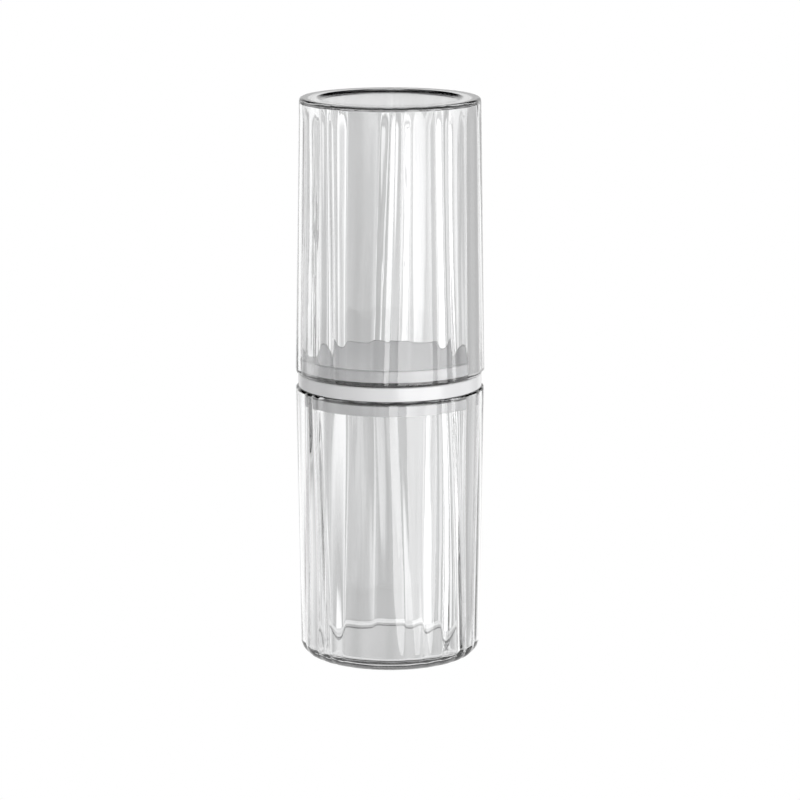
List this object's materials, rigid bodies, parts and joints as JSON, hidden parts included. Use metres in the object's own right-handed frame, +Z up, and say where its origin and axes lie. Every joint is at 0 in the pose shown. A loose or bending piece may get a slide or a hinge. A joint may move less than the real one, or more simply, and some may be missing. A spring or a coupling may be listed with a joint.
{
  "type": "toothbrush case",
  "caption": "Upright travel case for a toothbrush: clear wavy-fluted cups set mouth to mouth and plugged together by a white ring.",
  "frame": {"origin": "centre of the base, on the plane that the case stands on", "axes": "+Z up along the case's own axis, from the closed end of the lower cup to that of the upper cup; -Y faces the viewer"},
  "size_m": [0.0669, 0.0669, 0.2],
  "materials": {
    "clear_plastic": "clear moulded plastic, polished",
    "white_plastic": "white moulded plastic, satin gloss"
  },
  "bodies": {
    "lower": {"lower_cup": "clear_plastic"},
    "ring": {"joining_ring": "white_plastic"},
    "upper": {"upper_cup": "clear_plastic"}
  },
  "joints": [
    {"name": "ring_lift", "type": "slide", "parent": "lower", "child": "ring", "axis": [0, 0, 1], "range_m": [0, 0.03]},
    {"name": "cover_lift", "type": "slide", "parent": "ring", "child": "upper", "axis": [0, 0, 1], "range_m": [0, 0.11]}
  ]
}
